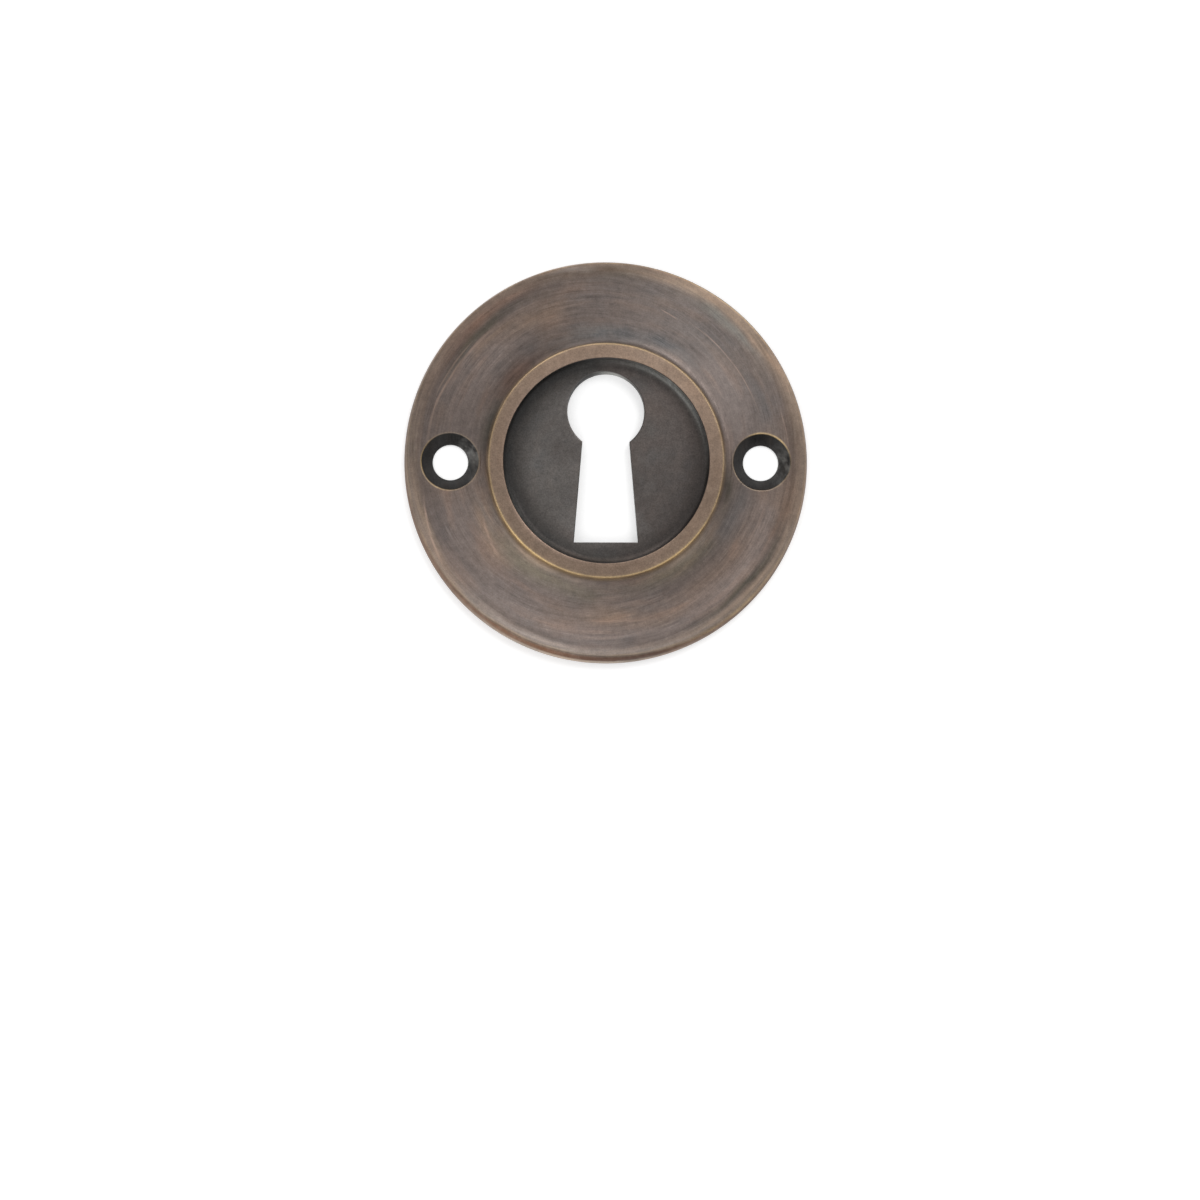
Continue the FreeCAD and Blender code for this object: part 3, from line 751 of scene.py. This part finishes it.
def bare_brass(at):
    """How much bare brass shows: the collar's line, the rim's brow and bevel, and the countersinks' lips."""
    patchy = np.clip(0.75 + at.noise(0.5, 5) * 0.9, 0, 1)
    # The collar's bare line runs on down its steep outer wall, partly wear and partly painted light where
    # that wall is shaded.
    collar_line = (smooth_bump((at.collar_edge - 0.06 - at.radius).clip(0), 0.13)
                   * smooth_bump((COLLAR_TOP - 0.35 - at.z).clip(0), 0.75)
                   * smooth_bump((at.radius - at.collar_edge - 0.02).clip(0), 0.2))
    line_arcs = 0.34 + arcs(at.azimuth, (226, 24, 0.60), (309, 23, 0.62), (85, 34, 0.06), (268, 30, 0.15))
    wear = np.clip(collar_line * 1.1, 0, 1) * line_arcs * np.clip(patchy + 0.3, 0, 1)

    past_brow = at.radius - at.brow_radius
    below_crest = RIM_CREST[1] - at.z
    brow = smooth_bump(np.hypot(past_brow, below_crest - 0.03), 0.10)
    brow_arcs = 0.10 + arcs(at.azimuth, (312, 22, 0.15), (60, 35, 0.20))
    wear = np.maximum(wear, brow * brow_arcs * patchy)
    mid_bevel = smooth_bump(np.hypot(past_brow - 0.17, below_crest - 0.19), 0.11)
    wear = np.maximum(wear, mid_bevel * patchy * arcs(at.azimuth, (308, 17, 0.6)))

    lip = smooth_bump(at.from_screw - COUNTERSINK_RADIUS - 0.04, 0.085) * (at.z > at.face - 0.09)
    right_lip = 0.12 + arcs(at.about_screw, (72, 38, 0.95))
    left_lip = 0.10 + arcs(at.about_screw, (205, 58, 0.45))
    return np.maximum(wear, lip * np.where(at.x > 0, right_lip, left_lip) * patchy)


def paint(plate):
    """Give every vertex its patina colour, with painted light and shade in it, how much bare brass shows
    there and how brushed it is.
    """
    mesh = plate.data
    at = Places(mesh)
    tint = np.tile(np.array(MAUVE), (len(at.points), 1))
    paint_face(at, tint)
    paint_collar(at, tint)
    paint_recess(at, tint)
    paint_screw_holes(at, tint)
    paint_rim(at, tint)
    tint[at.on_back] = BACK_BROWN
    paint_keyhole_wall(at, tint)
    on_face = (at.radius >= COLLAR_RADIUS - 0.01) & (at.z > FACE_Z - 0.9) & ~at.on_collar
    add_attribute(mesh, "tint", "FLOAT_COLOR", np.column_stack([tint, np.ones(len(tint))]), "color")
    add_attribute(mesh, "wear", "FLOAT", bare_brass(at), "value")
    add_attribute(mesh, "brushed", "FLOAT", np.where(on_face, 1.0, 0.25), "value")


def angle_between(azimuth, other):
    """How far one azimuth is past another, from -180 to 180 degrees."""
    return (azimuth - other + 180) % 360 - 180


def mix_in(tint, colour, share):
    """Mix a colour into the tint of each vertex by its share."""
    tint += (np.array(colour) - tint) * share[:, None]


def add_attribute(mesh, name, kind, values, field):
    mesh.attributes.new(name, kind, "POINT").data.foreach_set(field, values.astype(np.float32).ravel())


plate = build_plate()
paint(plate)
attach(plate, "root")
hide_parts("escutcheon")


# Camera. The photograph's scale and where the plate's middle is in it, in its own pixels.
PIXELS_PER_MM = 9.064
PHOTO_MIDDLE = 600
PLATE_IN_PHOTO = (605.7, 462.6)
CAMERA_DISTANCE = 320
CAMERA_TILT = math.radians(3.2)
CAMERA_SWING = math.radians(1.5)
SENSOR = 36


def add_camera():
    aim_x = (PHOTO_MIDDLE - PLATE_IN_PHOTO[0]) / PIXELS_PER_MM
    aim_y = (PLATE_IN_PHOTO[1] - PHOTO_MIDDLE) / PIXELS_PER_MM
    aim = Vector((aim_x, aim_y, 0))
    back = Vector((-math.sin(CAMERA_SWING), -math.sin(CAMERA_TILT), math.cos(CAMERA_TILT))).normalized()
    right = Vector((0, 1, 0)).cross(back).normalized()
    data = bpy.data.cameras.new("camera")
    data.sensor_width = SENSOR
    data.lens = SENSOR * CAMERA_DISTANCE * PIXELS_PER_MM / (2 * PHOTO_MIDDLE)
    data.clip_start = 0.01
    camera = bpy.data.objects.new("camera", data)
    axes = Matrix((right, back.cross(right), back)).transposed()
    camera.matrix_world = Matrix.Translation((aim + back * CAMERA_DISTANCE) * MM) @ axes.to_4x4()
    bpy.context.scene.collection.objects.link(camera)
    bpy.context.scene.camera = camera


BARE_BRASS = (0.93, 0.67, 0.34)

# Factors that turn a colour warmer or cooler.
WARMER = (1.20, 1.02, 0.88)
COOLER = (0.86, 0.93, 0.98)

# Thin rubbed arcs: azimuth and half its spread in degrees, radius at each end, half width, strength.
RUBBED_ARCS = [
    (38, 22, 18.0, 18.3, 0.09, 0.55),
    (152, 24, 19.6, 20.4, 0.20, 0.75),
    (148, 12, 20.3, 20.5, 0.14, 0.5),
    (67, 4, 18.0, 18.4, 0.08, 0.7),
    (10, 7, 20.6, 20.3, 0.08, 0.5),
    (-158, 13, 20.9, 21.7, 0.16, 0.7),
    (-147, 10, 15.1, 16.2, 0.22, 0.55),
    (-86, 12, 17.9, 18.4, 0.20, 0.45),
]

# The patina was rubbed back by hand, on arcs that aren't quite concentric with the plate.
HAND_BRUSH_OFFSET = (1.3, -1.0, 0)


class Graph:
    """Builds a material's nodes from short calls, whose arguments are sockets or plain values."""

    def __init__(self, material):
        material.use_nodes = True
        self.nodes = material.node_tree.nodes
        self.links = material.node_tree.links

    def add(self, kind, settings=(), **inputs):
        node = self.nodes.new("ShaderNode" + kind)
        for name, value in dict(settings).items():
            setattr(node, name, value)
        for name, value in inputs.items():
            self.put(value, node.inputs[name.replace("_", " ")])
        return node

    def put(self, value, socket):
        if isinstance(value, bpy.types.NodeSocket):
            self.links.new(value, socket)
        elif isinstance(value, tuple) and len(value) == 3 and socket.type == "RGBA":
            socket.default_value = (*value, 1)
        else:
            socket.default_value = value

    def math(self, operation, *values):
        node = self.nodes.new("ShaderNodeMath")
        node.operation = operation
        for value, socket in zip(values, node.inputs):
            self.put(value, socket)
        return node.outputs[0]

    def vector(self, operation, *values):
        node = self.nodes.new("ShaderNodeVectorMath")
        node.operation = operation
        for value, socket in zip(values, node.inputs):
            self.put(value, socket)
        return node.outputs["Value" if operation == "LENGTH" else "Vector"]

    def noise(self, vector, scale, detail=3.0, roughness=0.5):
        node = self.add("TexNoise", Vector=vector, Scale=scale, Detail=detail, Roughness=roughness)
        return node.outputs["Fac"]

    def between(self, value, low, high, new_low=0.0, new_high=1.0):
        """Map a range of values onto another, and hold it there."""
        node = self.nodes.new("ShaderNodeMapRange")
        for given, socket in zip((value, low, high, new_low, new_high), node.inputs):
            self.put(given, socket)
        return node.outputs[0]

    def mix(self, share, first, second, blend="MIX"):
        node = self.nodes.new("ShaderNodeMix")
        node.data_type = "RGBA"
        node.blend_type = blend
        self.put(share, node.inputs[0])
        self.put(first, node.inputs[6])
        self.put(second, node.inputs[7])
        return node.outputs[2]


def add_material():
    """Dark patina over brass, brushed in rings, with bare metal at the worn edges."""
    material = bpy.data.materials.new("patinated_brass")
    graph = Graph(material)
    place = graph.vector("MULTIPLY", graph.add("TexCoord").outputs["Object"], (1 / MM,) * 3)
    flat = graph.vector("MULTIPLY", place, (1, 1, 0))
    radius = graph.vector("LENGTH", flat)
    around = graph.vector("NORMALIZE", flat)
    wander = graph.noise(place, 0.12, detail=1.0)
    drifted = graph.math("ADD", radius, graph.math("MULTIPLY", wander, 0.8))
    hand_radius = graph.vector("LENGTH", graph.vector("ADD", flat, HAND_BRUSH_OFFSET))

    def ring_noise(distance, across, along, detail, roughness=0.5):
        """Noise drawn out along rings: its scale across them, and how often it changes round them."""
        outward = graph.add("CombineXYZ", Z=graph.math("MULTIPLY", distance, across))
        turned = graph.vector("MULTIPLY", around, (along, along, 0))
        stretched = graph.vector("ADD", turned, outward.outputs["Vector"])
        return graph.noise(stretched, 1.0, detail, roughness)

    broad = ring_noise(drifted, 0.8, 2.2, 3.0)
    streaks = ring_noise(hand_radius, 3.2, 4.0, 4.0, 0.6)
    hairs = ring_noise(hand_radius, 10.0, 6.0, 3.0, 0.65)
    scratches = graph.between(ring_noise(hand_radius, 16.0, 4.0, 0.0), 0.69, 0.78)
    cloud = graph.noise(place, 0.35, 5.0, 0.65)
    mottle = graph.noise(place, 1.3, 5.0, 0.65)
    speckle = graph.noise(place, 6.5, 2.0, 0.7)

    tint = graph.add("Attribute", {"attribute_name": "tint"}).outputs["Color"]
    wear = graph.add("Attribute", {"attribute_name": "wear"}).outputs["Fac"]
    brushed = graph.add("Attribute", {"attribute_name": "brushed"}).outputs["Fac"]

    def tinted(colour, by, share):
        return graph.mix(share, colour, graph.mix(1.0, colour, by, "MULTIPLY"))

    def swing(value, by):
        """Map noise to a factor round 1, that much up and down."""
        return graph.between(value, 0.25, 0.75, 1 - by, 1 + by)

    warm_rings = graph.math("MULTIPLY", brushed, graph.between(broad, 0.5, 0.75, 0, 0.5))
    colour = tinted(tint, WARMER, warm_rings)
    colour = tinted(colour, COOLER, graph.between(cloud, 0.5, 0.72, 0, 0.5))
    along_rings = graph.math("MULTIPLY", swing(streaks, 0.22), swing(hairs, 0.12))
    along_rings = graph.math("MULTIPLY", along_rings, swing(broad, 0.12))
    along_rings = graph.math("ADD", along_rings, graph.math("MULTIPLY", scratches, 0.15))
    brushing = graph.math("MULTIPLY", brushed, graph.between(cloud, 0.38, 0.62, 0.45, 1.25))
    ring_swing = graph.math("MULTIPLY", brushing, graph.math("SUBTRACT", along_rings, 1.0))
    ring_share = graph.math("ADD", 1.0, ring_swing)
    grain = graph.math("SUBTRACT", swing(speckle, 0.27), 1.0)
    grain = graph.math("ADD", 1.0, graph.math("MULTIPLY", grain, graph.between(brushed, 0, 1, 1.0, 0.55)))
    all_over = graph.math("MULTIPLY", grain, swing(mottle, 0.15))
    shade = graph.math("MULTIPLY", all_over, ring_share)
    shades = graph.add("CombineXYZ", X=shade, Y=shade, Z=shade).outputs["Vector"]
    colour = graph.mix(1.0, colour, shades, "MULTIPLY")
    parts = graph.add("SeparateXYZ", Vector=place).outputs
    azimuth = graph.math("ARCTAN2", parts["Y"], parts["X"])
    for mid_azimuth, spread, start_radius, end_radius, width, share in RUBBED_ARCS:
        low, high = math.radians(mid_azimuth - spread), math.radians(mid_azimuth + spread)
        path = graph.between(azimuth, low, high, start_radius, end_radius)
        off_path = graph.math("ABSOLUTE", graph.math("SUBTRACT", drifted, path))
        ends = graph.math("ABSOLUTE", graph.between(azimuth, low, high, -1, 1))
        across = graph.between(off_path, 0, width, 1, 0)
        line = graph.math("MULTIPLY", across, graph.between(ends, 0.5, 1, 1, 0))
        line = graph.math("MULTIPLY", line, graph.between(hairs, 0.35, 0.6, 0.3, 1))
        colour = graph.mix(graph.math("MULTIPLY", line, share), colour, RUBBED_PINK)
    bare = graph.math("MULTIPLY", wear, graph.between(speckle, 0.3, 0.6, 0.6, 1.0))
    colour = graph.mix(bare, colour, BARE_BRASS)

    ring_height = graph.math("ADD", graph.math("MULTIPLY", hairs, 0.5), graph.math("MULTIPLY", streaks, 0.6))
    ring_height = graph.math("SUBTRACT", ring_height, graph.math("MULTIPLY", scratches, 0.3))
    ring_height = graph.math("MULTIPLY", ring_height, brushed)
    height = graph.math("ADD", ring_height, graph.math("MULTIPLY", speckle, 0.35))
    bump = graph.add("Bump", Strength=0.35, Distance=0.02 * MM, Height=height)
    shader = graph.nodes["Principled BSDF"]
    shader.inputs["Metallic"].default_value = 1
    shader.inputs["Anisotropic"].default_value = 0.7
    shader.inputs["Anisotropic Rotation"].default_value = 0.25
    tangent = graph.add("Tangent", {"direction_type": "RADIAL", "axis": "Z"})
    graph.put(tangent.outputs["Tangent"], shader.inputs["Tangent"])
    graph.put(colour, shader.inputs["Base Color"])
    roughness = graph.between(graph.math("ADD", streaks, cloud), 0.7, 1.3, 0.36, 0.52)
    graph.put(roughness, shader.inputs["Roughness"])
    graph.put(bump.outputs["Normal"], shader.inputs["Normal"])
    plate.data.materials.append(material)


def show_to_eye(material, gain):
    """Add a plain white to what the camera and mirrors see of a surface, and light nothing with it."""
    nodes, links = material.node_tree.nodes, material.node_tree.links
    path = nodes.new("ShaderNodeLightPath")
    seen = nodes.new("ShaderNodeMath")
    seen.operation = "MAXIMUM"
    links.new(path.outputs["Is Camera Ray"], seen.inputs[0])
    links.new(path.outputs["Is Glossy Ray"], seen.inputs[1])
    either = nodes.new("ShaderNodeMath")
    either.operation = "MAXIMUM"
    links.new(seen.outputs[0], either.inputs[0])
    links.new(path.outputs["Is Transmission Ray"], either.inputs[1])
    strength = nodes.new("ShaderNodeMath")
    strength.operation = "MULTIPLY"
    strength.inputs[1].default_value = gain
    links.new(either.outputs[0], strength.inputs[0])
    shader = nodes["Principled BSDF"]
    shader.inputs["Emission Color"].default_value = (1, 1, 1, 1)
    links.new(strength.outputs[0], shader.inputs["Emission Strength"])


def add_floor():
    mesh = bpy.data.meshes.new("floor")
    half = 1.5
    corners = [(-half, -half, 0), (half, -half, 0), (half, half, 0), (-half, half, 0)]
    mesh.from_pydata(corners, [], [(0, 1, 2, 3)])
    floor = bpy.data.objects.new("floor", mesh)
    bpy.context.scene.collection.objects.link(floor)
    material = bpy.data.materials.new("white_table")
    material.use_nodes = True
    shader = material.node_tree.nodes["Principled BSDF"]
    shader.inputs["Base Color"].default_value = (0.8, 0.8, 0.8, 1)
    shader.inputs["Roughness"].default_value = 0.9
    shader.inputs["Specular IOR Level"].default_value = 0
    show_to_eye(material, 0.4)
    floor.data.materials.append(material)


def add_softbox(name, azimuth, elevation, distance, size, power):
    """Add a soft lamp that faces the plate, its angles in degrees."""
    data = bpy.data.lights.new(name, "AREA")
    data.shape = "RECTANGLE"
    data.size, data.size_y = size
    data.energy = power
    lamp = bpy.data.objects.new(name, data)
    azimuth, elevation = math.radians(azimuth), math.radians(elevation)
    level = math.cos(elevation)
    back = Vector((math.cos(azimuth) * level, math.sin(azimuth) * level, math.sin(elevation)))
    lamp.location = back * distance
    lamp.rotation_euler = back.to_track_quat("Z", "Y").to_euler()
    bpy.context.scene.collection.objects.link(lamp)


def add_lights():
    world = bpy.data.worlds.new("studio")
    bpy.context.scene.world = world
    world.use_nodes = True
    background = world.node_tree.nodes["Background"]
    background.inputs["Color"].default_value = (1, 1, 1, 1)
    background.inputs["Strength"].default_value = 0.62
    add_softbox("key", 55, 55, 1.0, (0.5, 0.5), 2.5)
    add_softbox("fill", 232, 48, 1.0, (1.2, 1.2), 2.5)
    add_softbox("top", 108, 25, 1.0, (0.6, 0.6), 1.7)


add_camera()
add_material()
add_floor()
add_lights()
bpy.context.scene.view_settings.view_transform = "Standard"
